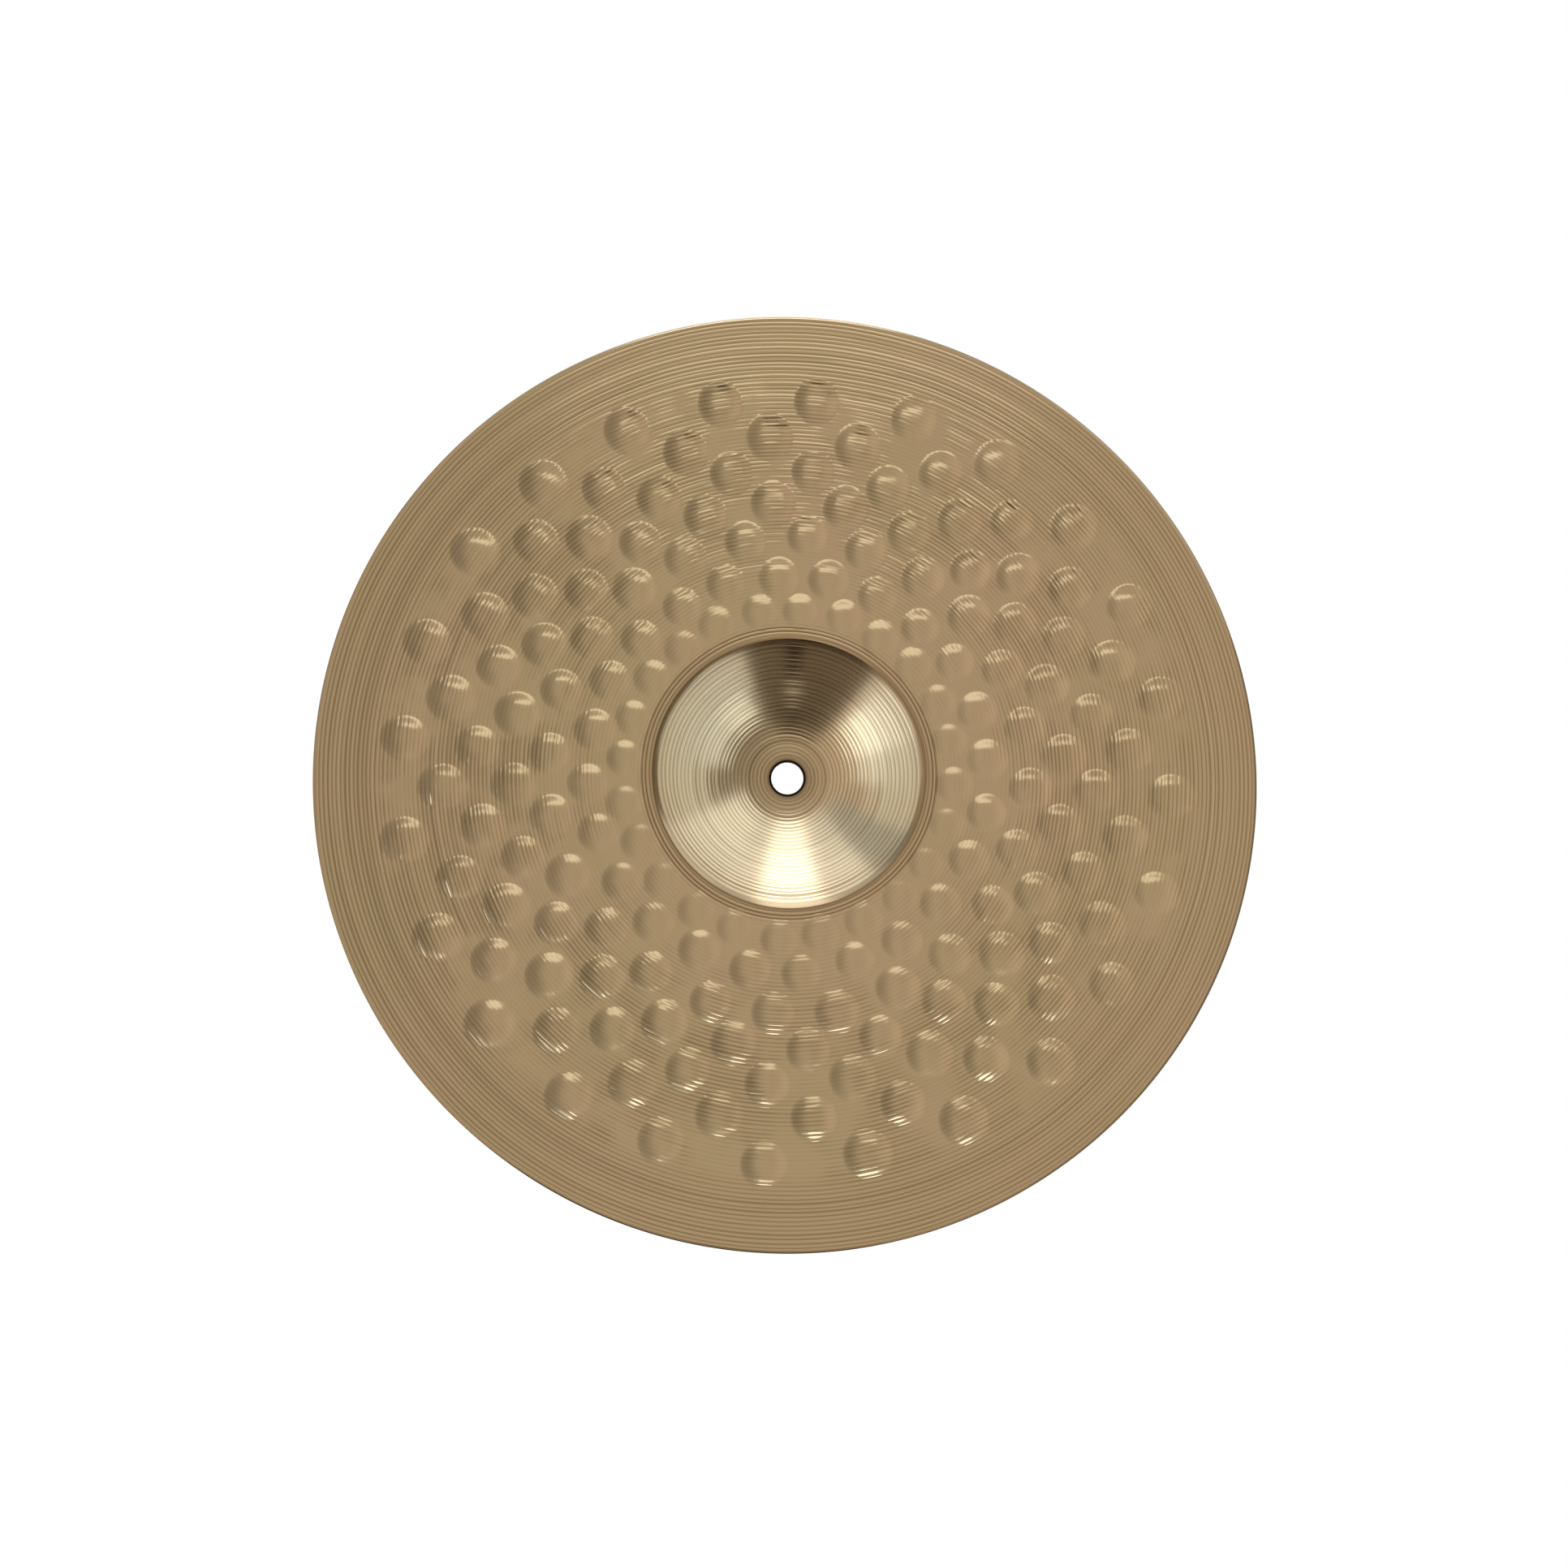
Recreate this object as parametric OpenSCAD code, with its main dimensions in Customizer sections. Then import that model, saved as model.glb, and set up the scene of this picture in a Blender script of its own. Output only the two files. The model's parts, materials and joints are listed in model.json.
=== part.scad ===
// Crash cymbal, 14 inch: one disc of cast bronze with a bell, a bow and a thin edge.
// The origin is on the axis of the centre hole, in the plane that the edge rests on. +Z points up
// through the bell.

/* [Overall] */
// Diameter across the edge
cymbal_d = 355.6; // [340:0.2:380]
// Rise of the bow, from the edge to the foot of the bell
bow_rise = 19; // [14:0.5:24]
// Rise of the bell, from its foot to the crown
bell_rise = 20; // [16:0.5:24]

/* [Bell] */
// Diameter of the flat crown that the stand's felts clamp
crown_d = 20; // [18:0.5:24]
// Diameter at the middle of the bend where the bell meets the bow
bell_d = 105; // [96:0.5:110]
// Width of that bend
foot_w = 3; // [2:0.5:8]

/* [Metal] */
// Thickness at the crown
crown_t = 1.3; // [1.1:0.05:1.6]
// Thickness at the edge
edge_t = 0.9; // [0.8:0.05:1.1]
// Width of the flat land that the edge stands on
land_w = 0.8; // [0.6:0.1:1.2]
// Size of the small bevels on the edge and round the hole
edge_break = 0.15; // [0.1:0.05:0.2]

/* [Centre hole] */
// Diameter of the hole for the stand's sleeved rod
hole_d = 13; // [12:0.1:14]

/* [Hidden] */
// Steps along the profile on the bell, on the bend and on the bow
bell_steps = 14;
foot_steps = 4;
bow_steps = 12;
// Roundness of curved faces
round_fn = 180;

edge_r = cymbal_d / 2;
hole_r = hole_d / 2;
crown_r = crown_d / 2;
bend_in_r = (bell_d - foot_w) / 2;
bend_out_r = (bell_d + foot_w) / 2;

// The slope grows in proportion to the radius on the bow, so the bow is a shallow paraboloid.
bow_bend = 2 * bow_rise / (edge_r * edge_r - bend_out_r * bend_out_r);
foot_slope = bow_bend * bend_out_r;
// The bell's slope grows evenly from nothing at the crown to this value at its foot.
bell_slope = (2 * bell_rise - foot_slope * foot_w) / (bend_out_r - crown_r);

// Downward slope of the upper face at radius r.
function slope_at(r) =
    r <= crown_r ? 0 :
    r <= bend_in_r ? bell_slope * (r - crown_r) / (bend_in_r - crown_r) :
    r <= bend_out_r ? bell_slope + (foot_slope - bell_slope) * (r - bend_in_r) / foot_w :
    bow_bend * r;

// Fall of the upper face between two radii that lie in one stretch of the profile.
function fall(r0, r1) = (slope_at(r0) + slope_at(r1)) / 2 * (r1 - r0);

// Height of the upper face above its own height at the edge.
function rise_at(r) =
    r >= bend_out_r ? fall(r, edge_r) :
    r >= bend_in_r ? bow_rise + fall(r, bend_out_r) :
    r >= crown_r ? bow_rise + fall(bend_in_r, bend_out_r) + fall(r, bend_in_r) :
    bow_rise + bell_rise;

// Thickness square to the sheet, and measured straight down.
function sheet_t(r) = crown_t + (edge_t - crown_t) * (r - hole_r) / (edge_r - hole_r);
function upright_t(r) = sheet_t(r) * sqrt(1 + slope_at(r) * slope_at(r));

// Height of the upper face at the edge, which puts the land's inner border at zero.
land_r = edge_r - land_w;
edge_z = upright_t(land_r) - rise_at(land_r);
function top_z(r) = edge_z + rise_at(r);
function under_z(r) = top_z(r) - upright_t(r);

// Even steps from a up to, but not including, b.
function stations(a, b, n) = [for (i = [0 : n - 1]) a + (b - a) * i / n];

stations_r = concat(
    stations(crown_r, bend_in_r, bell_steps),
    stations(bend_in_r, bend_out_r, foot_steps),
    stations(bend_out_r, land_r, bow_steps));
last_station = len(stations_r) - 1;

// Half of the section, from the hole along the upper face to the edge and back along the underside.
module half_section() {
    crown_z = top_z(hole_r);
    seat_z = under_z(crown_r);
    upper = [for (r = stations_r) [r, top_z(r)]];
    inward = [for (i = [0 : last_station]) stations_r[last_station - i]];
    under = [for (r = inward) [r, under_z(r)]];
    polygon(concat(
        [[hole_r, seat_z + edge_break], [hole_r, crown_z - edge_break], [hole_r + edge_break, crown_z]],
        upper,
        [[edge_r - edge_break, top_z(edge_r - edge_break)], [edge_r, edge_z - edge_break]],
        [[edge_r, edge_break], [edge_r - edge_break, 0], [land_r, 0]],
        under,
        [[hole_r + edge_break, seat_z]]));
}

// The cymbal: one sheet with a true round hole, at the smooth level that the hammer marks rise from.
module cymbal() {
    color([0.72, 0.58, 0.38])
        rotate_extrude($fn = round_fn)
            half_section();
}

cymbal();
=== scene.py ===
"""Crash cymbal, 14 inch: one hammered and lathed bronze disc, seen from below in a soft studio."""
import json
import logging
import math
from dataclasses import dataclass, field
from enum import Enum

import bpy
import numpy as np
from mathutils import Matrix, Vector


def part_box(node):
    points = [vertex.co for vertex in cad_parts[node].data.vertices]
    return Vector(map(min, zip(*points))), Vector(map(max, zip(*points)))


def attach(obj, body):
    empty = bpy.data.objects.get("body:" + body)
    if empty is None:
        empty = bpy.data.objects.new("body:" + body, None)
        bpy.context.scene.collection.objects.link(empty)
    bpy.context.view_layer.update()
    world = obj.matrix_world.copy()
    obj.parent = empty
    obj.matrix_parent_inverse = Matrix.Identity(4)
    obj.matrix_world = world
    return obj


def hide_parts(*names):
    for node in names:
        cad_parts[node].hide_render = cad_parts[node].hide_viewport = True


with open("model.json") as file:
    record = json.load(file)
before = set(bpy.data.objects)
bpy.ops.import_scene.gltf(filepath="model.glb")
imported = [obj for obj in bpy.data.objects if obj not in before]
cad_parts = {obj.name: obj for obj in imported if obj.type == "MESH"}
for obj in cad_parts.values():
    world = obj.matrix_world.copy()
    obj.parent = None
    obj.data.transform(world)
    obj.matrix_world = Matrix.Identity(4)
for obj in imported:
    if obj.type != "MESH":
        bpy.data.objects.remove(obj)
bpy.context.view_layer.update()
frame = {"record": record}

LOG = logging.getLogger("crash_cymbal")
MM = 0.001
TURN = 2.0 * math.pi
# How close two points lie that are welded into one, in a profile and in a turned piece
PROFILE_WELD = 1e-6
TURNED_WELD = 2e-6
DEGREES_PER_HOUR = 30.0
Point = tuple[float, float]
Colour = tuple[float, float, float]
Place = tuple[float, float, float]
Socket = bpy.types.NodeSocket
Tree = bpy.types.NodeTree
Rows = bpy.types.bpy_prop_collection


class Side(Enum):
    """The two faces of the sheet, each with the sign of its outward direction along Z."""

    TOP = 1.0
    UNDERSIDE = -1.0


class Axis(Enum):
    """An axis of a card, as the place of its reading in a position."""

    X = 0
    Y = 1
    Z = 2


class Light(Enum):
    """Colours of the light that the cards give."""

    ROSE = (1.0, 0.845, 0.695)
    OLIVE = (1.0, 0.865, 0.70)
    CREAM = (1.0, 0.94, 0.84)
    WHITE = (0.93, 0.97, 1.0)
    COOL = (0.88, 0.95, 1.0)
    DUSKY = (1.0, 0.79, 0.60)
    BLACK = (0.0, 0.0, 0.0)


# ------------------------------------------------------------
# Workshop: the few moves that every piece is made with
# ------------------------------------------------------------


def leave_edit_mode() -> None:
    """Go back to object mode, whatever mode is on."""
    if bpy.context.object and bpy.context.object.mode != "OBJECT":
        bpy.ops.object.mode_set(mode="OBJECT")


def deselect_all() -> None:
    """Deselect every object, so that the next operator acts on its own piece alone."""
    leave_edit_mode()
    bpy.ops.object.select_all(action="DESELECT")


def choose(piece: bpy.types.Object) -> None:
    """Select one object alone and make it the active one.

    Args:
        piece: the object.
    """
    deselect_all()
    piece.select_set(True)
    bpy.context.view_layer.objects.active = piece


def draw_profile(name: str, points: list[Point], closed: bool) -> bpy.types.Object:
    """Draw a half section in the XZ plane by pulling one vertex from point to point.

    Args:
        name: name of the new object.
        points: radius and height of each point, in metres.
        closed: whether the last point is joined to the first.

    Returns:
        The object, in edit mode, with its whole profile selected.
    """
    deselect_all()
    bpy.ops.mesh.primitive_plane_add(size=MM, location=(0.0, 0.0, 0.0))
    piece = bpy.context.object
    piece.name = name
    bpy.ops.object.mode_set(mode="EDIT")
    bpy.ops.mesh.select_all(action="SELECT")
    bpy.ops.mesh.merge(type="CENTER")
    route = points + points[:1] if closed else points
    here = (0.0, 0.0)
    for step, (radius, height) in enumerate(route):
        move = (radius - here[0], 0.0, height - here[1])
        if step == 0:
            bpy.ops.transform.translate(value=move)
        else:
            bpy.ops.mesh.extrude_region_move(TRANSFORM_OT_translate={"value": move})
        here = (radius, height)
    bpy.ops.mesh.select_all(action="SELECT")
    bpy.ops.mesh.remove_doubles(threshold=PROFILE_WELD)
    return piece


def turn(name: str, points: list[Point], steps: int, closed: bool = True,
         angle: float = TURN) -> bpy.types.Object:
    """Turn a half section round Z, as on a lathe.

    Args:
        name: name of the new object.
        points: radius and height of each point, in metres.
        steps: steps round the turn.
        closed: whether the section is a closed loop, which gives a solid.
        angle: how far the section is turned, in radians.

    Returns:
        The turned object, in object mode.
    """
    piece = draw_profile(name, points, closed)
    bpy.ops.mesh.spin(steps=steps, angle=angle, center=(0.0, 0.0, 0.0), axis=(0.0, 0.0, 1.0))
    bpy.ops.mesh.select_all(action="SELECT")
    bpy.ops.mesh.remove_doubles(threshold=TURNED_WELD)
    bpy.ops.mesh.normals_make_consistent(inside=False)
    leave_edit_mode()
    return piece


# ------------------------------------------------------------
# The cymbal
# ------------------------------------------------------------


@dataclass(frozen=True)
class Section:
    """The cymbal's half section: a bell on a shallow bow, thinner towards the edge.

    The bow's slope grows in proportion to the radius. The bell's slope grows evenly from nothing
    at its flat crown to its foot, and a short bend joins the two. Beyond plain_share of the edge's
    radius there are no marks, so fewer steps do.
    """

    edge_r: float
    crown_z: float
    hole_r: float
    crown_r: float = 10.0 * MM
    bend_in_r: float = 51.0 * MM
    bend_out_r: float = 54.0 * MM
    bow_rise: float = 19.0 * MM
    bell_rise: float = 20.0 * MM
    crown_t: float = 1.3 * MM
    edge_t: float = 0.9 * MM
    land_w: float = 0.8 * MM
    edge_break: float = 0.15 * MM
    plain_share: float = 0.9
    bell_steps: int = 18
    bend_steps: int = 6
    marked_steps: int = 78
    plain_steps: int = 5
    corner_points: int = 4
    corner_step: float = 30.0
    probe: float = 0.05 * MM

    @property
    def bow_bend(self) -> float:
        """Growth of the bow's slope for each metre of radius."""
        return 2.0 * self.bow_rise / (self.edge_r**2 - self.bend_out_r**2)

    @property
    def bell_slope(self) -> float:
        """Slope at the foot of the bell."""
        foot = self.bow_bend * self.bend_out_r * (self.bend_out_r - self.bend_in_r)
        return (2.0 * self.bell_rise - foot) / (self.bend_out_r - self.crown_r)

    def slope(self, r: float) -> float:
        """Downward slope of the upper face.

        Args:
            r: radius.

        Returns:
            Fall for each metre outwards.
        """
        if r <= self.crown_r:
            return 0.0
        if r <= self.bend_in_r:
            return self.bell_slope * (r - self.crown_r) / (self.bend_in_r - self.crown_r)
        if r <= self.bend_out_r:
            share = (r - self.bend_in_r) / (self.bend_out_r - self.bend_in_r)
            return self.bell_slope + (self.bow_bend * self.bend_out_r - self.bell_slope) * share
        return self.bow_bend * r

    def fall(self, start: float, end: float) -> float:
        """Fall of the upper face between two radii that lie in one stretch of the section."""
        return (self.slope(start) + self.slope(end)) / 2.0 * (end - start)

    def top(self, r: float) -> float:
        """Height of the upper face, measured down from the crown.

        Args:
            r: radius.

        Returns:
            Height above the plane that the edge rests on.
        """
        z = self.crown_z
        for start, end in ((self.crown_r, self.bend_in_r), (self.bend_in_r, self.bend_out_r),
                           (self.bend_out_r, self.edge_r)):
            if r > start:
                z -= self.fall(start, min(r, end))
        return z

    def thickness(self, r: float) -> float:
        """Thickness square to the sheet at radius r."""
        share = (r - self.hole_r) / (self.edge_r - self.hole_r)
        return self.crown_t + (self.edge_t - self.crown_t) * share

    def under(self, r: float) -> float:
        """Height of the underside at radius r."""
        return self.top(r) - self.thickness(r) * math.sqrt(1.0 + self.slope(r) ** 2)

    def face(self, side: Side, r: float) -> float:
        """Height of one face of the sheet at radius r."""
        return self.top(r) if side is Side.TOP else self.under(r)

    def face_slope(self, side: Side, r: float) -> float:
        """Downward slope of one face of the sheet at radius r."""
        fall = self.face(side, r - self.probe) - self.face(side, r + self.probe)
        return fall / (2.0 * self.probe)

    def corner(self, r: float, z: float, start: float) -> list[Point]:
        """A small rounded corner.

        Args:
            r: radius of the corner's centre.
            z: height of the corner's centre.
            start: angle at which the rounding starts; it runs a quarter turn clockwise.

        Returns:
            Its points.
        """
        size = self.edge_break
        angles = [start - math.radians(self.corner_step * i) for i in range(self.corner_points)]
        return [(r + size * math.cos(a), z + size * math.sin(a)) for a in angles]

    def points(self) -> list[Point]:
        """The closed section, along the upper face, round the edge and back along the underside.

        Returns:
            Radius and height of each point.
        """
        plain_r = self.plain_share * self.edge_r
        land_r = self.edge_r - self.land_w
        stretches = ((self.crown_r, self.bend_in_r, self.bell_steps),
                     (self.bend_in_r, self.bend_out_r, self.bend_steps),
                     (self.bend_out_r, plain_r, self.marked_steps),
                     (plain_r, land_r, self.plain_steps))
        stations = [a + (b - a) * i / n for a, b, n in stretches for i in range(n)]
        size = self.edge_break
        seat = self.under(self.crown_r)
        upper = [(r, self.top(r)) for r in stations]
        under = [(r, self.under(r)) for r in reversed(stations)]
        top_edge = self.top(self.edge_r - size) - size
        return (self.corner(self.hole_r + size, self.crown_z - size, math.pi)
                + upper
                + self.corner(self.edge_r - size, top_edge, math.pi / 2.0)
                + self.corner(self.edge_r - size, size, 0.0)
                + [(land_r, 0.0)]
                + under
                + self.corner(self.hole_r + size, seat + size, -math.pi / 2.0))


@dataclass(frozen=True)
class Blow:
    """One hammer blow: a shallow round swelling that runs out softly into the sheet."""

    x: float
    y: float
    radius: float
    height: float


@dataclass(frozen=True)
class Stray:
    """How one measure of the blows strays from the pattern, as a sine of the blow's number."""

    amount: float
    rate: float
    start: float

    def at(self, number: int) -> float:
        """The stray of one blow."""
        return self.amount * math.sin(self.rate * number + self.start)


@dataclass
class HammerWork:
    """Seven rings of machine-hammered marks, raised on top and dented underneath.

    Radii of the rings and of their marks are in millimetres, and the first angle is in degrees.
    The steepness is a mark's height over its radius, which the ring's force then scales.
    """

    ring_radii: tuple[float, ...] = (64.5, 77.7, 93.3, 106.5, 119.3, 131.9, 146.8)
    mark_radii: tuple[float, ...] = (8.0, 8.6, 9.0, 9.2, 9.3, 9.4, 9.6)
    ring_forces: tuple[float, ...] = (0.66, 0.84, 0.94, 1.0, 1.0, 1.0, 1.0)
    per_ring: int = 24
    first_angle: float = 4.0
    steepness: float = 0.052
    outward: Stray = Stray(0.6 * MM, 2.4, 0.0)
    sideways: Stray = Stray(0.5 * MM, 3.7, 1.3)
    width: Stray = Stray(0.04, 5.1, 0.7)
    force: Stray = Stray(0.06, 7.3, 2.1)
    blows: list[Blow] = field(default_factory=list)

    def start(self, ring: int) -> float:
        """Angle of a ring's first mark; every other ring is half a step on."""
        return math.radians(self.first_angle) + (ring % 2) * math.pi / self.per_ring

    def __post_init__(self) -> None:
        """Lay out the blows, each one a little off the pattern, as a hammer leaves them."""
        for ring, (ring_mm, mark_mm) in enumerate(zip(self.ring_radii, self.mark_radii)):
            for i in range(self.per_ring):
                number = ring * self.per_ring + i
                r = ring_mm * MM + self.outward.at(number)
                angle = self.start(ring) + i * TURN / self.per_ring
                angle += self.sideways.at(number) / (ring_mm * MM)
                radius = mark_mm * MM * (1.0 + self.width.at(number))
                height = self.steepness * radius * (1.0 + self.force.at(number))
                height *= self.ring_forces[ring]
                self.blows.append(Blow(r * math.cos(angle), r * math.sin(angle), radius, height))

    def rise(self, at: np.ndarray) -> np.ndarray:
        """How far all the blows raise the sheet.

        Args:
            at: X and Y of points on the sheet, one a row.

        Returns:
            The rise at each point.
        """
        rise = np.zeros(len(at))
        for blow in self.blows:
            away = np.linalg.norm((at - (blow.x, blow.y)) / blow.radius, axis=1)
            near = away < 1.0
            rise[near] += blow.height * (1.0 - away[near] ** 3) ** 2
        return rise


@dataclass
class CrashCymbal:
    """The bronze disc, with its hammer marks in the sheet and its finish."""

    section: Section
    hammering: HammerWork
    steps: int = 400
    smooth_angle: float = 40.0
    slope_readings: int = 1600
    map_edge: float = 0.01
    map_height: float = 0.488
    map_rows: tuple[float, float] = (0.505, 0.005)
    wall_height: float = 0.004

    def build(self) -> bpy.types.Object:
        """Turn the sheet, work the hammer marks into both faces and smooth it.

        Returns:
            The finished piece.
        """
        sheet = turn("hammered_cymbal", self.section.points(), self.steps)
        self.hammer(sheet)
        self.smooth(sheet)
        self.unroll(sheet)
        return sheet

    def hammer(self, sheet: bpy.types.Object) -> None:
        """Raise the hammer marks in both faces at once, so that the sheet keeps its thickness.

        Args:
            sheet: the turned sheet.
        """
        spots = self.read(sheet.data.vertices, "co")
        spots[:, 2] += self.hammering.rise(spots[:, :2])
        sheet.data.vertices.foreach_set("co", spots.ravel())
        sheet.data.update()

    def read(self, rows: Rows, what: str) -> np.ndarray:
        """Read a three-part property of every vertex or face.

        Args:
            rows: the vertices or faces.
            what: name of the property.

        Returns:
            The values, one a row.
        """
        values = np.empty(len(rows) * 3)
        rows.foreach_get(what, values)
        return values.reshape(-1, 3)

    def sheet_normals(self, side: Side, at: np.ndarray) -> np.ndarray:
        """Normals of one smooth face of the sheet.

        Args:
            side: the face.
            at: points on it, one a row.

        Returns:
            Unit normals, one a row.
        """
        radii = np.hypot(at[:, 0], at[:, 1])
        table_r = np.linspace(self.section.hole_r, self.section.edge_r, self.slope_readings)
        table_s = [self.section.face_slope(side, float(r)) for r in table_r]
        slopes = np.interp(radii, table_r, table_s)
        out = np.column_stack([slopes * at[:, 0] / radii, slopes * at[:, 1] / radii,
                               np.ones(len(at))])
        return side.value * out / np.linalg.norm(out, axis=1, keepdims=True)

    def smooth(self, sheet: bpy.types.Object) -> None:
        """Give every corner the true normal of the unhammered sheet.

        The bronze adds the slopes of the marks, so that their borders stay round between corners.

        Args:
            sheet: the hammered sheet.
        """
        choose(sheet)
        bpy.ops.object.shade_smooth_by_angle(angle=math.radians(self.smooth_angle))
        mesh = sheet.data
        corners = np.array([c.vector for c in mesh.corner_normals])
        ends = np.empty(len(mesh.loops), dtype=int)
        mesh.loops.foreach_get("vertex_index", ends)
        at = self.read(mesh.vertices, "co")[ends]
        sizes = np.empty(len(mesh.polygons), dtype=int)
        mesh.polygons.foreach_get("loop_total", sizes)
        face_of = np.repeat(np.arange(len(sizes)), sizes)
        facing = self.read(mesh.polygons, "normal")[face_of]
        middles = self.read(mesh.polygons, "center")[face_of]
        radii = np.hypot(middles[:, 0], middles[:, 1])
        land_r = self.section.edge_r - self.section.land_w
        flat = (np.abs(facing[:, 2]) > 0.999) & ((radii < self.section.crown_r) | (radii > land_r))
        corners[flat] = facing[flat]
        ends_at = {Side.TOP: self.section.edge_r - self.section.edge_break, Side.UNDERSIDE: land_r}
        for side, end in ends_at.items():
            face = (facing[:, 2] * side.value > 0.5) & (radii > self.section.crown_r) & (radii < end)
            corners[face] = self.sheet_normals(side, at[face])
        mesh.normals_split_custom_set(corners.tolist())

    def unroll(self, sheet: bpy.types.Object) -> None:
        """Lay the top in the upper half of a map and the underside in the lower half.

        The angle runs across the map and the radius up it, so that turned lines stay sharp. The
        walls of the hole and of the edge take a thin band beside their face.

        Args:
            sheet: the hammered sheet.
        """
        mesh = sheet.data
        while mesh.uv_layers:
            mesh.uv_layers.remove(mesh.uv_layers[0])
        layer = mesh.uv_layers.new(name="OFBake")
        reach = self.section.edge_r
        top_row, under_row = self.map_rows
        flat = np.empty(len(mesh.loops) * 2)
        for face in mesh.polygons:
            middle = math.atan2(face.center.y, face.center.x) % TURN
            row = top_row if face.normal.z > 0.0 else under_row
            wall = abs(face.normal.z) < 0.3
            for loop in face.loop_indices:
                x, y, z = mesh.vertices[mesh.loops[loop].vertex_index].co
                angle = math.atan2(y, x) % TURN
                if angle - middle > math.pi:
                    angle -= TURN
                elif middle - angle > math.pi:
                    angle += TURN
                radius = math.hypot(x, y)
                up = self.map_height * radius / reach
                if wall:
                    away = 1.0 if radius > reach / 2.0 else -1.0
                    up += away * self.wall_height * (z / self.section.crown_z)
                flat[2 * loop] = self.map_edge + (1.0 - 2.0 * self.map_edge) * angle / TURN
                flat[2 * loop + 1] = row + up
        layer.uv.foreach_set("vector", flat)


# ------------------------------------------------------------
# Finish
# ------------------------------------------------------------


class Graph:
    """A node tree that is written from left to right."""

    def __init__(self, tree: Tree) -> None:
        """Keep the tree that nodes are added to."""
        self.tree = tree

    def add(self, kind: str, **settings: object) -> bpy.types.Node:
        """Add a node.

        Args:
            kind: its type, without the ShaderNode that starts it.
            **settings: its properties.

        Returns:
            The node.
        """
        known = kind if kind.startswith("NodeGroup") else "ShaderNode" + kind
        node = self.tree.nodes.new(known)
        for key, value in settings.items():
            setattr(node, key, value)
        return node

    def join(self, start: object, end: Socket) -> None:
        """Link a socket to another, or set it to a plain value.

        Args:
            start: the socket or the value.
            end: the input that takes it.
        """
        if isinstance(start, Socket):
            self.tree.links.new(start, end)
        else:
            end.default_value = start

    def math(self, operation: str, *values: object, clamp: bool = False) -> Socket:
        """Add a Math node.

        Args:
            operation: what it does.
            *values: sockets or numbers that it works on.
            clamp: whether its result is kept between 0 and 1.

        Returns:
            The socket of its result.
        """
        node = self.add("Math", operation=operation, use_clamp=clamp)
        for value, socket in zip(values, node.inputs):
            self.join(value, socket)
        return node.outputs[0]

    def vector(self, operation: str, *values: object, scale: object = None) -> Socket:
        """Add a Vector Math node.

        Args:
            operation: what it does.
            *values: sockets or vectors that it works on.
            scale: socket or number that a vector is multiplied by, where it scales one.

        Returns:
            The socket of its result.
        """
        node = self.add("VectorMath", operation=operation)
        for value, socket in zip(values, node.inputs):
            self.join(value, socket)
        if scale is not None:
            self.join(scale, node.inputs["Scale"])
        return node.outputs["Value" if operation in ("DOT_PRODUCT", "LENGTH") else "Vector"]

    def ramp(self, value: object, low: object, high: object, start: object = 0.0,
             end: object = 1.0) -> Socket:
        """Add a smooth step.

        Args:
            value: what is read.
            low: reading at which the step starts.
            high: reading at which it ends.
            start: result up to the low reading.
            end: result from the high reading on.

        Returns:
            The socket of its result.
        """
        node = self.add("MapRange", interpolation_type="SMOOTHSTEP")
        for item, socket in zip((value, low, high, start, end), node.inputs):
            self.join(item, socket)
        return node.outputs[0]

    def noise(self, place: object, scale: object, detail: float,
              dimensions: str = "3D") -> bpy.types.Node:
        """Add a noise.

        Args:
            place: socket of a position, or of one number where it has one dimension.
            scale: how many times it changes in a metre.
            detail: how many finer layers it has.
            dimensions: 3D or 1D.

        Returns:
            The node.
        """
        node = self.add("TexNoise", noise_dimensions=dimensions)
        self.join(place, node.inputs["W" if dimensions == "1D" else "Vector"])
        self.join(scale, node.inputs["Scale"])
        self.join(detail, node.inputs["Detail"])
        return node

    def blend(self, share: object, first: object, second: Colour) -> Socket:
        """Mix a plain colour into another colour.

        Args:
            share: share of the second colour.
            first: socket of the first colour, or the colour with its alpha.
            second: the second colour.

        Returns:
            The socket of the mixed colour.
        """
        node = self.add("Mix", data_type="RGBA")
        for value, socket in zip((share, first, (*second, 1.0)),
                                 (node.inputs[0], node.inputs[6], node.inputs[7])):
            self.join(value, socket)
        return node.outputs[2]

    def place(self, tree: Tree, **values: object) -> bpy.types.Node:
        """Add a node group.

        Args:
            tree: the group.
            **values: sockets or values for its inputs.

        Returns:
            The node.
        """
        node = self.add("Group", node_tree=tree)
        for label, value in values.items():
            self.join(value, node.inputs[label])
        return node


class Group(Graph):
    """A shader node group with named inputs and outputs."""

    def __init__(self, name: str, inputs: dict[str, str], outputs: dict[str, str]) -> None:
        """Make the group and its sockets.

        Args:
            name: name of the group.
            inputs: kind of each input, by name.
            outputs: kind of each output, by name.
        """
        super().__init__(bpy.data.node_groups.new(name, "ShaderNodeTree"))
        for way, sockets in (("INPUT", inputs), ("OUTPUT", outputs)):
            for label, kind in sockets.items():
                self.tree.interface.new_socket(name=label, in_out=way, socket_type="NodeSocket" + kind)
        self.given = self.add("NodeGroupInput").outputs
        self.gives = self.add("NodeGroupOutput").inputs


def radius_of(graph: Graph, place: object) -> tuple[Socket, Socket]:
    """Distance from the axis, and the unit vector away from it.

    Args:
        graph: the graph that the nodes go in.
        place: socket of the position.

    Returns:
        Sockets of the radius and of the vector.
    """
    flat = graph.vector("MULTIPLY", place, (1.0, 1.0, 0.0))
    return graph.vector("LENGTH", flat), graph.vector("NORMALIZE", flat)


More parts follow.
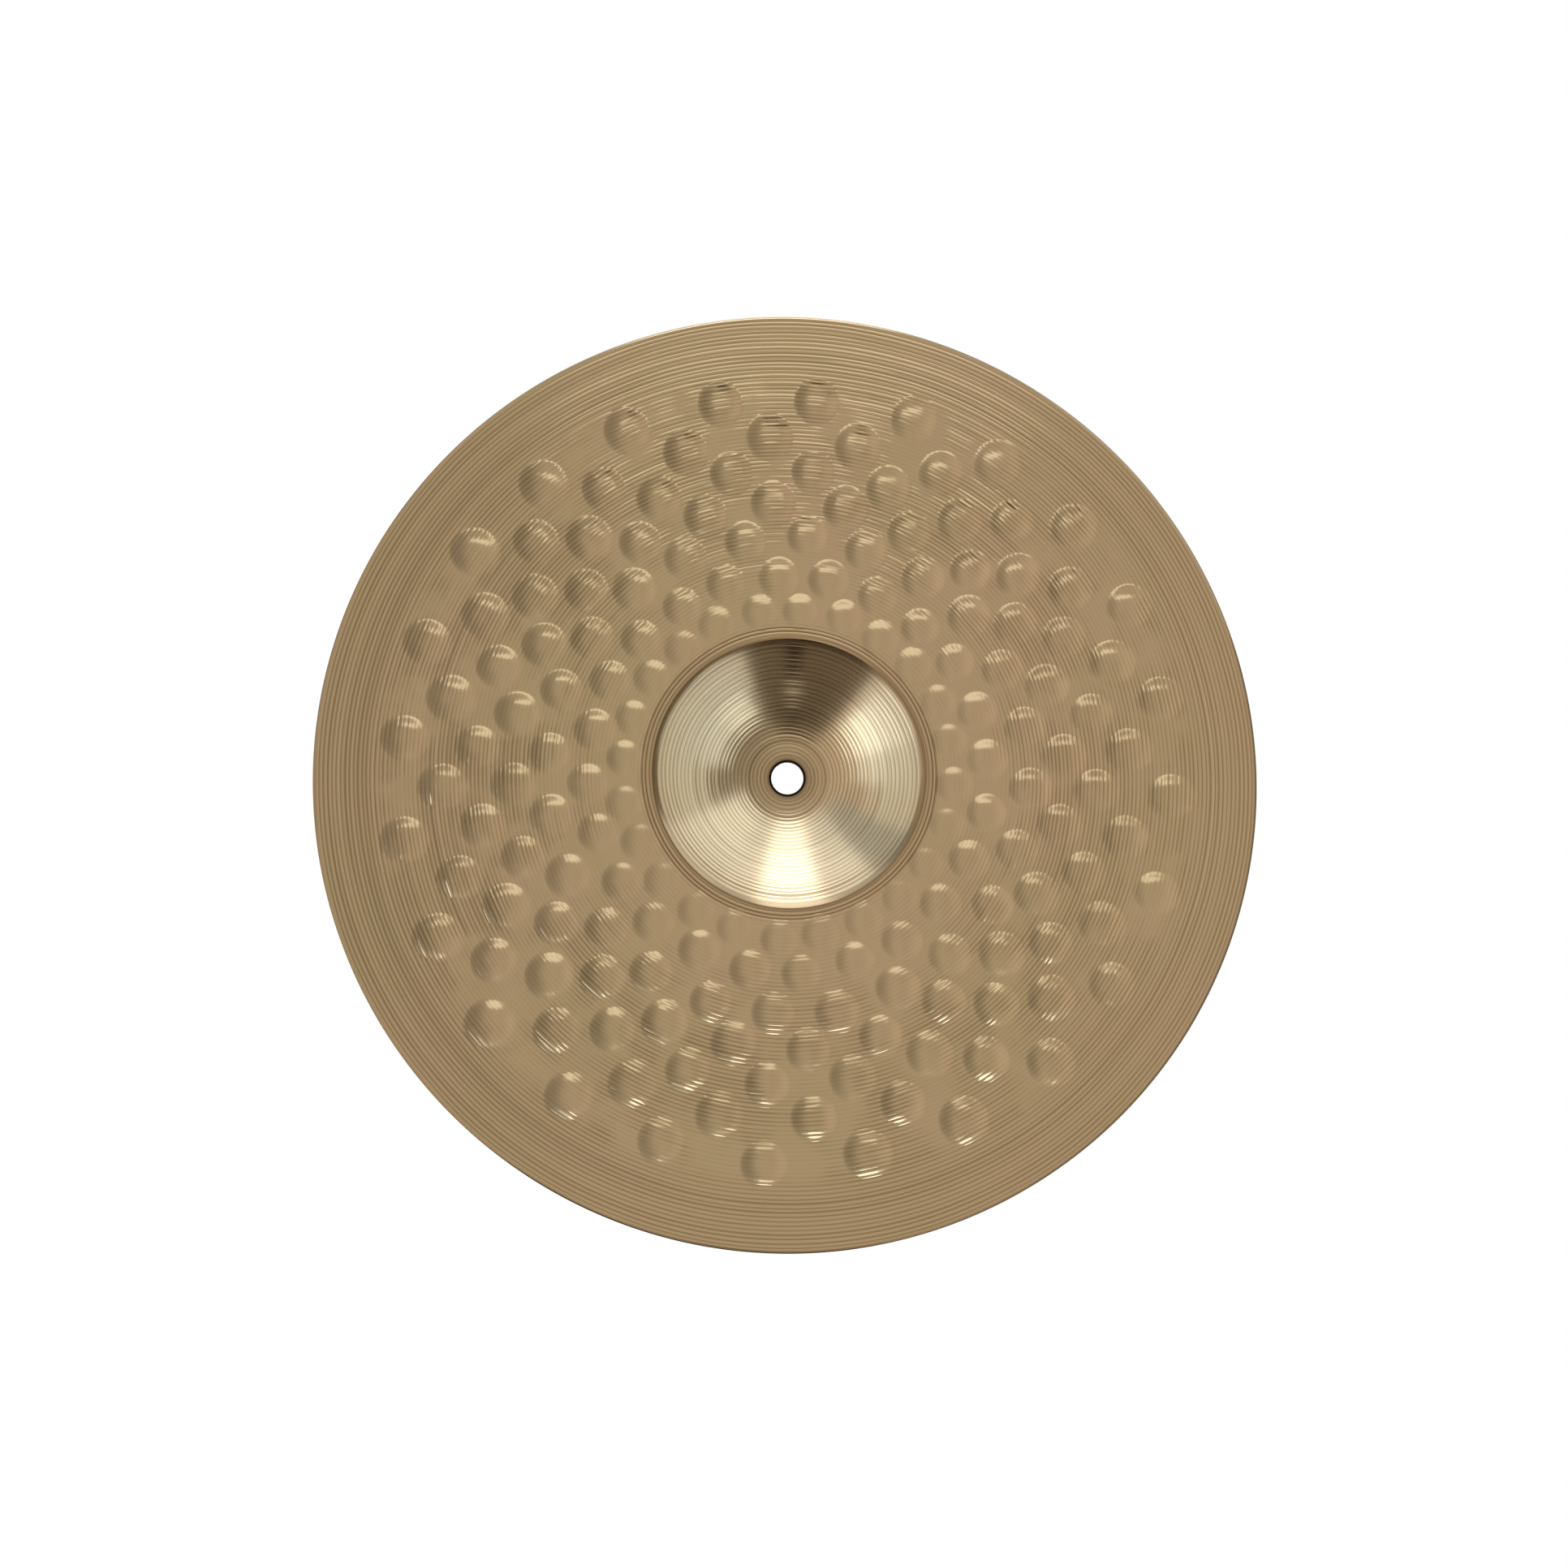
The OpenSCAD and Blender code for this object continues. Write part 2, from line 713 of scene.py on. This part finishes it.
def lathe_lines_group() -> Tree:
    """Fine round grooves that the lathe tool leaves, as a turned normal and a groove mask.

    Returns:
        The group's tree.
    """
    group = Group("Lathe lines",
                  {"Position": "Vector", "Normal": "Vector", "Pitch": "Float", "Slope": "Float"},
                  {"Normal": "Vector", "Groove": "Float"})
    radius, away = radius_of(group, group.given["Position"])
    # The grooves stray from an even pitch, from one to the next and slowly round the sheet.
    wander = group.noise(radius, scale=900.0, detail=1.0, dimensions="1D").outputs["Fac"]
    drift = group.noise(group.given["Position"], scale=14.0, detail=1.0).outputs["Fac"]
    sharp_stray, slow_stray = 3.2, 5.0
    slow = group.math("MULTIPLY", drift, slow_stray)
    shift = group.math("MULTIPLY_ADD", wander, sharp_stray, slow)
    turns = group.math("DIVIDE", radius, group.given["Pitch"])
    phase = group.math("MULTIPLY_ADD", turns, TURN, shift)
    wave = group.math("SINE", phase)
    fine_rate, fine_share = 2.6, 0.35
    fine = group.math("SINE", group.math("MULTIPLY", phase, fine_rate))
    # Some are cut deeper than others.
    depth = group.noise(radius, scale=420.0, detail=2.0, dimensions="1D").outputs["Fac"]
    depth = group.ramp(depth, low=0.3, high=0.7, start=0.45, end=1.3)
    tilt = group.math("MULTIPLY_ADD", fine, fine_share, wave)
    tilt = group.math("MULTIPLY", group.math("MULTIPLY", tilt, depth), group.given["Slope"])
    inward = group.vector("SCALE", group.given["Normal"],
                          scale=group.vector("DOT_PRODUCT", away, group.given["Normal"]))
    along = group.vector("NORMALIZE", group.vector("SUBTRACT", away, inward))
    turned = group.vector("ADD", group.given["Normal"], group.vector("SCALE", along, scale=tilt))
    group.join(group.vector("NORMALIZE", turned), group.gives["Normal"])
    groove = group.math("MULTIPLY_ADD", group.math("COSINE", phase), 0.5, 0.5)
    group.join(groove, group.gives["Groove"])
    return group.tree


def hammer_ring_group(hammering: HammerWork) -> Tree:
    """Slope of one ring of hammer marks, the same as the marks in the mesh.

    Args:
        hammering: the rings of marks.

    Returns:
        The group's tree.
    """
    group = Group("Hammer ring",
                  {"Position": "Vector", "Ring": "Float", "Mark": "Float", "Start": "Float",
                   "First": "Float", "Force": "Float"},
                  {"Slope": "Vector"})
    given = group.given
    pitch = TURN / hammering.per_ring
    parts = group.add("SeparateXYZ")
    group.join(given["Position"], parts.inputs[0])
    angle = group.math("ARCTAN2", parts.outputs[1], parts.outputs[0])
    turned = group.math("DIVIDE", group.math("SUBTRACT", angle, given["Start"]), pitch)
    index = group.math("ROUND", turned)
    index = group.math("FLOORED_MODULO", index, float(hammering.per_ring))
    number = group.math("ADD", index, given["First"])

    def stray(kind: Stray) -> Socket:
        """Socket of the stray of the nearest blow."""
        phase = group.math("MULTIPLY_ADD", number, kind.rate, kind.start)
        return group.math("MULTIPLY", group.math("SINE", phase), kind.amount)

    middle = group.math("MULTIPLY_ADD", index, pitch, given["Start"])
    sideways = group.math("DIVIDE", stray(hammering.sideways), given["Ring"])
    middle = group.math("ADD", middle, sideways)
    radius = group.math("ADD", given["Ring"], stray(hammering.outward))
    centre = group.add("CombineXYZ")
    group.join(group.math("MULTIPLY", radius, group.math("COSINE", middle)), centre.inputs[0])
    group.join(group.math("MULTIPLY", radius, group.math("SINE", middle)), centre.inputs[1])
    size = group.math("MULTIPLY", given["Mark"], group.math("ADD", stray(hammering.width), 1.0))
    flat = group.vector("MULTIPLY", given["Position"], (1.0, 1.0, 0.0))
    away = group.vector("SUBTRACT", flat, centre.outputs[0])
    away = group.vector("SCALE", away, scale=group.math("DIVIDE", 1.0, size))
    # A mark's height runs out as (1 - t^3)^2, so its slope is -6 t^2 (1 - t^3).
    reach = group.vector("LENGTH", away)
    rest = group.math("SUBTRACT", 1.0, group.math("POWER", reach, 3.0), clamp=True)
    force = group.math("MULTIPLY", group.math("ADD", stray(hammering.force), 1.0), given["Force"])
    steep = group.math("MULTIPLY", group.math("MULTIPLY", reach, rest), force)
    steep = group.math("MULTIPLY", steep, -6.0 * hammering.steepness)
    group.join(group.vector("SCALE", away, scale=steep), group.gives["Slope"])
    return group.tree


def hammer_marks_group(hammering: HammerWork) -> Tree:
    """All rings of hammer marks, as a turned normal.

    Args:
        hammering: the rings of marks.

    Returns:
        The group's tree.
    """
    group = Group("Hammer marks", {"Position": "Vector", "Normal": "Vector"}, {"Normal": "Vector"})
    ring_tree = hammer_ring_group(hammering)
    total = None
    for ring, (ring_mm, mark_mm) in enumerate(zip(hammering.ring_radii, hammering.mark_radii)):
        node = group.place(ring_tree, Position=group.given["Position"], Ring=ring_mm * MM,
                           Mark=mark_mm * MM, Start=hammering.start(ring),
                           First=float(ring * hammering.per_ring),
                           Force=hammering.ring_forces[ring])
        slope = node.outputs["Slope"]
        total = slope if total is None else group.vector("ADD", total, slope)
    parts = group.add("SeparateXYZ")
    group.join(group.given["Normal"], parts.inputs[0])
    lean = group.vector("SCALE", total, scale=group.math("MULTIPLY", parts.outputs[2], -1.0))
    turned = group.vector("NORMALIZE", group.vector("ADD", group.given["Normal"], lean))
    group.join(turned, group.gives["Normal"])
    return group.tree


def sheet_wave_group() -> Tree:
    """The slight unevenness of a hammered sheet, as a turned normal.

    Returns:
        The group's tree.
    """
    group = Group("Sheet wave",
                  {"Position": "Vector", "Normal": "Vector", "Size": "Float", "Slope": "Float"},
                  {"Normal": "Vector"})
    broad = group.noise(group.given["Position"], scale=group.given["Size"], detail=1.0)
    lean = group.vector("SUBTRACT", broad.outputs["Color"], (0.5, 0.5, 0.5))
    lean = group.vector("SCALE", lean, scale=group.given["Slope"])
    turned = group.vector("ADD", group.given["Normal"], lean)
    group.join(group.vector("NORMALIZE", turned), group.gives["Normal"])
    return group.tree


def zones_group(section: Section, hammering: HammerWork) -> Tree:
    """Masks of the cymbal's zones, by their distance from the axis.

    Args:
        section: the cymbal's half section.
        hammering: the rings of marks.

    Returns:
        The group's tree.
    """
    masks = ("Bell", "Collar", "Hammered", "Rim", "Bore", "Lip", "Crease")
    group = Group("Zones", {"Position": "Vector"}, dict.fromkeys((*masks, "Radius"), "Float"))
    radius, _ = radius_of(group, group.given["Position"])

    def outside(border: float, start: float, end: float) -> Socket:
        """Mask that grows to one between two distances from a border, in millimetres."""
        return group.ramp(radius, border + start * MM, border + end * MM)

    def inside(border: float, start: float, end: float) -> Socket:
        """Mask that falls to nothing between two distances from a border, in millimetres."""
        return group.ramp(radius, border + start * MM, border + end * MM, start=1.0, end=0.0)

    first, last = hammering.ring_radii[0] * MM, hammering.ring_radii[-1] * MM
    bell = group.ramp(radius, section.bend_in_r, section.bend_out_r, start=1.0, end=0.0)
    collar = inside(section.bend_out_r, 3.0, 6.0)
    zones = {
        "Bell": bell,
        "Collar": group.math("SUBTRACT", collar, bell, clamp=True),
        "Hammered": group.math("MULTIPLY", outside(first, -8.0, -3.0), inside(last, 3.0, 14.0)),
        "Rim": outside(section.edge_r, -1.6, -0.4),
        "Bore": inside(section.hole_r, 0.8, 4.2),
        "Lip": inside(section.hole_r, 0.8, 1.3),
        "Crease": group.math("MULTIPLY", outside(section.bend_in_r, -0.6, 0.9),
                             inside(section.bend_out_r, -0.5, 0.4)),
        "Radius": radius,
    }
    for label, socket in zones.items():
        group.join(socket, group.gives[label])
    return group.tree


@dataclass(frozen=True)
class BrightBronze:
    """Cast bell bronze, lathed, hammered and buffed bright.

    The slopes are those of the grooves and of the sheet's unevenness. The shares say how much of
    the dark bronze is mixed in at each place: painted shade in the grooves, painted dark
    reflections round the hole and in the bell's bend, and a darker edge.
    """

    section: Section
    hammering: HammerWork
    olive: Colour = (0.735, 0.61, 0.395)
    rose: Colour = (0.76, 0.61, 0.41)
    dark: Colour = (0.30, 0.21, 0.115)
    black: Colour = (0.02, 0.014, 0.008)
    pitch: float = 1.5 * MM
    groove_slope: float = 0.05
    bell_slope: float = 0.035
    collar_slope: float = 0.012
    wave_scale: float = 75.0
    wave_slope: float = 0.004
    marked_slope: float = 0.035
    groove_power: float = 2.5
    groove_shade_share: float = 0.62
    collar_shade_share: float = 0.36
    rim_share: float = 0.35
    bore_shade_share: float = 0.75
    hole_shade_share: float = 0.30
    crease_shade_share: float = 0.72
    polish: float = 0.065
    grain: float = 0.05
    bell_haze: float = 0.11
    bore_haze: float = 0.12

    def grooving(self, graph: Graph, where: Socket, zones: Rows) -> Socket:
        """How strongly the lathe's grooves show: worn away in patches between the marks.

        Args:
            graph: its graph.
            where: socket of the position.
            zones: sockets of its zones.

        Returns:
            The socket of the share.
        """
        patches = graph.noise(where, scale=42.0, detail=2.0).outputs["Fac"]
        worn = graph.ramp(patches, low=0.42, high=0.62)
        smoothing = graph.math("MULTIPLY", worn, zones["Hammered"])
        inner = graph.ramp(zones["Radius"], low=62.0 * MM, high=100.0 * MM, start=0.15, end=1.0)
        bow = graph.math("MULTIPLY", graph.math("MULTIPLY_ADD", smoothing, -0.85, 1.0), inner)
        return graph.math("MAXIMUM", bow, graph.math("MAXIMUM", zones["Bell"], zones["Collar"]))

    def lines(self, graph: Graph, where: Socket, share: Socket, zones: Rows) -> bpy.types.Node:
        """Turn the sheet's normal by the marks, by a slight waviness and by the grooves.

        Args:
            graph: its graph.
            where: socket of the position.
            share: socket of how strongly the grooves show.
            zones: sockets of its zones.

        Returns:
            The node with the turned normal and the groove mask.
        """
        slope = graph.math("MULTIPLY_ADD", zones["Bell"], self.bell_slope, self.groove_slope)
        slope = graph.math("MULTIPLY", share, slope)
        slope = graph.math("MULTIPLY_ADD", zones["Collar"], self.collar_slope, slope)
        uneven = graph.math("MULTIPLY_ADD", zones["Hammered"], self.marked_slope, self.wave_slope)
        facing = graph.add("NewGeometry").outputs["Normal"]
        marks = graph.place(hammer_marks_group(self.hammering), Position=where, Normal=facing)
        wave = graph.place(sheet_wave_group(), Position=where, Normal=marks.outputs["Normal"],
                           Size=self.wave_scale, Slope=uneven)
        return graph.place(lathe_lines_group(), Position=where, Normal=wave.outputs["Normal"],
                           Pitch=self.pitch, Slope=slope)

    def colour(self, graph: Graph, where: Socket, groove: Socket, zones: Rows) -> Socket:
        """Mix the bronze's two tones with its painted shade, its painted dark reflections and a darker
        edge.

        Args:
            graph: its graph.
            where: socket of the position.
            groove: socket of the grooves' share of dark bronze, which is painted shade.
            zones: sockets of its zones.

        Returns:
            The socket of the colour.
        """
        tone = graph.noise(where, scale=16.0, detail=3.0).outputs["Fac"]
        tone = graph.ramp(tone, low=0.36, high=0.64)
        colour = graph.blend(tone, (*self.olive, 1.0), self.rose)
        # Painted dark reflection round the hole: this ramp out to 24 mm, and the bore share below.
        seat = graph.ramp(zones["Radius"], 8.0 * MM, 24.0 * MM, self.hole_shade_share, 0.0)
        # Mixed in as dark bronze: painted shade in the grooves, a darker edge, painted dark reflection
        # round the hole and painted dark reflection in the bell's bend.
        for share in (groove, graph.math("MULTIPLY", zones["Rim"], self.rim_share),
                      graph.math("MULTIPLY", zones["Bore"], self.bore_shade_share), seat,
                      graph.math("MULTIPLY", zones["Crease"], self.crease_shade_share)):
            colour = graph.blend(share, colour, self.dark)
        # Painted shade: a near-black ring on the hole's rounded lip, standing in for its dark
        # reflection.
        return graph.blend(zones["Lip"], colour, self.black)

    def roughness(self, graph: Graph, where: Socket, zones: Rows) -> Socket:
        """Roughness of the buffed sheet, hazier in the bell and round the hole.

        Args:
            graph: its graph.
            where: socket of the position.
            zones: sockets of its zones.

        Returns:
            The socket of the roughness.
        """
        grain = graph.noise(where, scale=900.0, detail=2.0).outputs["Fac"]
        rough = graph.math("MULTIPLY_ADD", grain, self.grain, self.polish)
        rough = graph.math("MULTIPLY_ADD", zones["Bell"], self.bell_haze, rough)
        return graph.math("MULTIPLY_ADD", zones["Bore"], self.bore_haze, rough)

    def make(self) -> bpy.types.Material:
        """Build the bronze.

        Returns:
            The material.
        """
        material = bpy.data.materials.new("bright_bronze")
        material.use_nodes = True
        graph = Graph(material.node_tree)
        shader = material.node_tree.nodes["Principled BSDF"]
        shader.inputs["Metallic"].default_value = 1.0
        where = graph.add("TexCoord").outputs["Object"]
        zones = graph.place(zones_group(self.section, self.hammering), Position=where).outputs
        share = self.grooving(graph, where, zones)
        lines = self.lines(graph, where, share, zones)
        # Painted shade: the grooves are darkened, more in the collar, for the contrast that their
        # reflections give.
        groove = graph.math("POWER", lines.outputs["Groove"], self.groove_power)
        depth = graph.math("MULTIPLY_ADD", zones["Collar"], self.collar_shade_share, self.groove_shade_share)
        groove = graph.math("MULTIPLY", graph.math("MULTIPLY", groove, share), depth)
        graph.join(lines.outputs["Normal"], shader.inputs["Normal"])
        graph.join(self.colour(graph, where, groove, zones), shader.inputs["Base Color"])
        graph.join(self.roughness(graph, where, zones), shader.inputs["Roughness"])
        return material


# ------------------------------------------------------------
# Studio
# ------------------------------------------------------------


def clock(hours: float) -> float:
    """Azimuth in the cymbal's frame of a clock direction, as seen from below with 12 at -Y."""
    return math.radians(hours * DEGREES_PER_HOUR - 90.0)


@dataclass(frozen=True)
class Card:
    """A glowing card that only reflections see, brighter or darker towards its far side."""

    name: str
    light: Light
    near: float
    far: float

    def glow(self, axis: Axis, start: float, end: float) -> bpy.types.Material:
        """Light that changes smoothly along one of the card's own axes.

        Args:
            axis: the axis.
            start: reading of the axis at the near brightness.
            end: reading of the axis at the far brightness.

        Returns:
            The material.
        """
        material = bpy.data.materials.new(self.name)
        material.use_nodes = True
        material.node_tree.nodes.clear()
        graph = Graph(material.node_tree)
        parts = graph.add("SeparateXYZ")
        graph.join(graph.add("TexCoord").outputs["Object"], parts.inputs[0])
        level = graph.ramp(parts.outputs[axis.value], start, end, self.near, self.far)
        glow = graph.add("Emission")
        glow.inputs["Color"].default_value = (*self.light.value, 1.0)
        graph.join(level, glow.inputs["Strength"])
        graph.join(glow.outputs[0], graph.add("OutputMaterial").inputs["Surface"])
        return material

    def hang(self, card: bpy.types.Object, axis: Axis, start: float, end: float) -> bpy.types.Object:
        """Light a card and let only reflections see it.

        Args:
            card: the card.
            axis: the axis along which its light changes.
            start: reading of the axis at the near brightness.
            end: reading of the axis at the far brightness.

        Returns:
            The card.
        """
        card.data.materials.append(self.glow(axis, start, end))
        card.visible_camera = False
        card.visible_diffuse = False
        card.visible_shadow = False
        card.visible_transmission = False
        return card


@dataclass(frozen=True)
class FlatCard(Card):
    """A straight-edged card that faces the cymbal from straight below or above."""

    low: Point
    high: Point
    height: float
    axis: Axis = Axis.Y
    fade: Point = (-1.0, 1.0)

    def build(self) -> bpy.types.Object:
        """Make the card with its corners at low and high.

        Returns:
            The card.
        """
        deselect_all()
        bpy.ops.mesh.primitive_plane_add(size=1.0, location=(0.0, 0.0, 0.0))
        card = bpy.context.object
        card.name = self.name
        (left, front), (right, back) = self.low, self.high
        stretch = Matrix.Diagonal((right - left, back - front, 1.0, 1.0))
        middle = ((right + left) / 2.0, (back + front) / 2.0, self.height)
        card.data.transform(Matrix.Translation(middle) @ stretch)
        return self.hang(card, self.axis, *self.fade)


@dataclass(frozen=True)
class RoundCard(Card):
    """An oval card that faces the cymbal from below."""

    centre: Point
    size: Point
    height: float
    sides: int = 64

    def build(self) -> bpy.types.Object:
        """Make the card: a disc, divided by an inset and stretched to its size.

        Returns:
            The card.
        """
        deselect_all()
        bpy.ops.mesh.primitive_circle_add(vertices=self.sides, radius=1.0, fill_type="NGON")
        card = bpy.context.object
        card.name = self.name
        bpy.ops.object.mode_set(mode="EDIT")
        bpy.ops.mesh.select_all(action="SELECT")
        bpy.ops.mesh.inset(thickness=0.3)
        leave_edit_mode()
        stretch = Matrix.Diagonal((*self.size, 1.0, 1.0))
        card.data.transform(Matrix.Translation((*self.centre, self.height)) @ stretch)
        middle, reach = self.centre[1], self.size[1]
        return self.hang(card, Axis.Y, middle - reach, middle + reach)


@dataclass(frozen=True)
class TentCard(Card):
    """A card on a ball round the cymbal.

    It runs between two clock directions, and between two angles from straight down, in degrees.
    """

    hours: Point
    angles: Point
    distance: float
    arc_steps: int = 12
    turn_steps: int = 24

    def build(self) -> bpy.types.Object:
        """Turn the card's arc from its first clock direction to its last.

        Returns:
            The card.
        """
        low, high = self.angles
        steps = range(self.arc_steps + 1)
        angles = [math.radians(low + (high - low) * i / self.arc_steps) for i in steps]
        arc = [(self.distance * math.sin(a), -self.distance * math.cos(a)) for a in angles]
        start, end = self.hours
        span = math.radians((end - start) * DEGREES_PER_HOUR)
        card = turn(self.name, arc, self.turn_steps, closed=False, angle=span)
        middle = sum((v.co for v in card.data.vertices), Vector())
        lean = clock((start + end) / 2.0) - math.atan2(middle.y, middle.x)
        card.data.transform(Matrix.Rotation(lean, 4, "Z"))
        return self.hang(card, Axis.Z, arc[0][1], arc[-1][1])


@dataclass(frozen=True)
class Studio:
    """The plain pale floor far below, the soft light round the cymbal and the camera."""

    floor_z: float = -4.4
    floor_size: float = 90.0
    board_z: float = -4.0
    board_reach: float = 5.0
    board_seam: float = 0.16
    eye: Place = (-0.0278, 0.0718, -0.510)
    aim: Place = (-0.0032, 0.0072, 0.0)
    lens: float = 31.45
    pale: Colour = (0.80, 0.79, 0.77)
    paler: Colour = (0.84, 0.83, 0.81)
    warm_grey: Colour = (1.0, 0.96, 0.90)
    white: Colour = (1.0, 1.0, 1.0)

    def floor(self) -> None:
        """Lay the pale floor, well below the cymbal, as under a stand."""
        deselect_all()
        bpy.ops.mesh.primitive_plane_add(size=self.floor_size, location=(0.0, 0.0, self.floor_z))
        floor = bpy.context.object
        floor.name = "studio_floor"
        material = bpy.data.materials.new("pale_floor")
        material.use_nodes = True
        shader = material.node_tree.nodes["Principled BSDF"]
        graph = Graph(material.node_tree)
        where = graph.add("TexCoord").outputs["Object"]
        cloud = graph.noise(where, scale=1.3, detail=2.0).outputs["Fac"]
        graph.join(graph.blend(cloud, (*self.pale, 1.0), self.paler), shader.inputs["Base Color"])
        shader.inputs["Roughness"].default_value = 0.9
        floor.data.materials.append(material)

    def boards(self) -> list[FlatCard | RoundCard]:
        """The warm boards under the cymbal, the cream card on them and the cards overhead.

        Returns:
            The cards, not yet built.
        """
        low, reach, seam = self.board_z, self.board_reach, self.board_seam
        return [
            FlatCard("rose_board", Light.ROSE, 0.61, 0.50, (-reach, -reach), (seam, reach), low,
                     Axis.X, (-0.95, seam)),
            FlatCard("olive_board", Light.OLIVE, 0.52, 0.30, (seam, -reach), (reach, reach), low,
                     Axis.X, (seam, 1.25)),
            RoundCard("cream_card", Light.CREAM, 0.98, 1.06, (0.19, 0.06), (0.43, 0.135), low + 0.02),
            FlatCard("overhead_card", Light.WHITE, 1.5, 1.2, (-0.9, -0.5), (0.3, 0.9), 1.3),
            FlatCard("overhead_strip", Light.CREAM, 1.2, 1.2, (0.7, -0.8), (1.0, 0.8), 1.1),
        ]

    def tent(self) -> list[TentCard]:
        """The lights round the cymbal, and the dark cards between them.

        Returns:
            The cards, not yet built.
        """
        return [
            TentCard("key_left", Light.WHITE, 0.50, 0.52, (10.2, 10.9), (27.0, 88.0), 3.84),
            TentCard("key_middle", Light.WHITE, 0.95, 1.25, (10.9, 13.0), (25.3, 88.0), 3.84),
            TentCard("key_right", Light.WHITE, 1.35, 1.05, (13.0, 14.0), (26.0, 88.0), 3.84),
            TentCard("key_strip", Light.WHITE, 2.3, 2.9, (11.68, 12.52), (24.0, 86.0), 3.76),
            TentCard("right_dim", Light.COOL, 1.2, 0.75, (2.9, 4.0), (37.0, 69.0), 3.84),
            TentCard("right_light", Light.COOL, 1.6, 0.6, (4.0, 4.85), (35.0, 69.0), 3.82),
            TentCard("left_light", Light.COOL, 2.2, 1.2, (7.7, 8.75), (36.0, 69.0), 3.84),
            TentCard("left_dim", Light.WHITE, 1.25, 0.8, (8.75, 9.5), (38.0, 69.0), 3.82),
            TentCard("dark_front", Light.DUSKY, 0.12, 0.17, (5.1, 7.45), (11.0, 88.0), 3.92),
            TentCard("black_flag", Light.BLACK, 0.0, 0.0, (5.84, 6.14), (62.0, 82.0), 3.80),
            TentCard("front_glow", Light.CREAM, 0.75, 0.75, (5.84, 6.16), (41.0, 50.0), 3.80),
            TentCard("small_flag", Light.BLACK, 0.0, 0.0, (5.80, 6.20), (11.0, 29.0), 3.80),
        ]

    def air(self) -> None:
        """Fill the room with light: white to the eye, and softer in reflections.

        In reflections it is a warm grey that is darker towards the horizon.
        """
        world = bpy.data.worlds.new("studio_air")
        bpy.context.scene.world = world
        world.use_nodes = True
        world.node_tree.nodes.clear()
        graph = Graph(world.node_tree)
        parts = graph.add("SeparateXYZ")
        graph.join(graph.add("TexCoord").outputs["Generated"], parts.inputs[0])
        level = graph.ramp(parts.outputs["Z"], low=0.0, high=0.9, start=0.30, end=0.62)
        soft = graph.add("Background")
        soft.inputs["Color"].default_value = (*self.warm_grey, 1.0)
        graph.join(level, soft.inputs["Strength"])
        plain = graph.add("Background")
        plain.inputs["Color"].default_value = (*self.white, 1.0)
        plain.inputs["Strength"].default_value = 1.0
        rays = graph.add("LightPath")
        seen = graph.math("MAXIMUM", rays.outputs["Is Camera Ray"], rays.outputs["Is Diffuse Ray"])
        mixer = graph.add("MixShader")
        graph.join(seen, mixer.inputs[0])
        graph.join(soft.outputs[0], mixer.inputs[1])
        graph.join(plain.outputs[0], mixer.inputs[2])
        graph.join(mixer.outputs[0], graph.add("OutputWorld").inputs["Surface"])

    def camera(self) -> None:
        """Stand the camera under the cymbal, looking up into the bell, with -Y upwards."""
        lens = bpy.data.cameras.new("camera")
        camera = bpy.data.objects.new("camera", lens)
        bpy.context.scene.collection.objects.link(camera)
        lens.lens = self.lens
        lens.sensor_width = 36.0
        lens.clip_start = 0.01
        lens.clip_end = 50.0
        ahead = (Vector(self.aim) - Vector(self.eye)).normalized()
        right = ahead.cross(Vector((0.0, -1.0, 0.0))).normalized()
        up = right.cross(ahead)
        turned = Matrix((right, up, -ahead)).transposed().to_4x4()
        camera.matrix_world = Matrix.Translation(self.eye) @ turned
        bpy.context.scene.camera = camera

    def build(self) -> None:
        """Set up the floor, the cards, the air and the camera."""
        self.floor()
        for card in self.boards() + self.tent():
            built = card.build()
            LOG.info("card %s: %d faces", built.name, len(built.data.polygons))
        self.air()
        self.camera()
        bpy.context.scene.view_settings.view_transform = "Standard"


def main() -> None:
    """Build the cymbal and its studio, in order."""
    low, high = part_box("cymbal")
    hole = next(m for m in frame["record"]["mounts"] if m["name"] == "centre_hole")
    section = Section(edge_r=(high[0] - low[0]) / 2.0, crown_z=high[2],
                      hole_r=hole["dims"]["r_mm"] * MM)
    LOG.info("hole %s, crown at %.3f mm, edge land at %.4f mm", hole["name"],
             section.crown_z / MM, section.under(section.edge_r - section.land_w) / MM)
    hammering = HammerWork()
    piece = CrashCymbal(section, hammering).build()
    piece.data.materials.clear()
    piece.data.materials.append(BrightBronze(section, hammering).make())
    piece.data.polygons.foreach_set("material_index", [0] * len(piece.data.polygons))
    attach(piece, "root")
    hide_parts("cymbal")
    LOG.info("%s: %d triangles", piece.name, len(piece.data.polygons))
    Studio().build()


if __name__ == "__main__":
    logging.basicConfig(level=logging.INFO, format="%(message)s")
    main()
